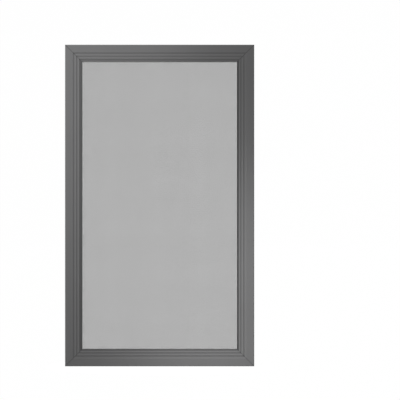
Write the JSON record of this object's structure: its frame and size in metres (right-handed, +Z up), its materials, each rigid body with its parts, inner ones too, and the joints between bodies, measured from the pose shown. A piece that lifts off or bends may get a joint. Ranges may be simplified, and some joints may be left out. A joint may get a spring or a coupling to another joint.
{
  "type": "window insect screen frame",
  "caption": "Grey framed insect screen for a window: mitred fluted aluminium rails round a stretched dark mesh, with spline and pile seal behind.",
  "frame": {"origin": "middle of the bottom edge, half way through the frame's depth", "axes": "+Z up along the stiles, +X to the right seen from the front, +Y towards the back that seats on the window"},
  "size_m": [0.45, 0.0184, 0.765],
  "materials": {
    "frame_coat": "satin",
    "key_nylon": "matte",
    "mesh_thread": "matte",
    "spline_vinyl": "matte",
    "pile": "matte"
  },
  "bodies": {
    "root": {"left_stile": "frame_coat", "right_stile": "frame_coat", "top_rail": "frame_coat", "bottom_rail": "frame_coat", "corner_key_bottom_left": "key_nylon", "corner_key_bottom_right": "key_nylon", "corner_key_top_left": "key_nylon", "corner_key_top_right": "key_nylon", "spline_left": "spline_vinyl", "spline_right": "spline_vinyl", "spline_top": "spline_vinyl", "spline_bottom": "spline_vinyl", "pile_seal_left": "pile", "pile_seal_right": "pile", "pile_seal_top": "pile", "pile_seal_bottom": "pile", "insect_mesh": "mesh_thread"}
  },
  "joints": []
}
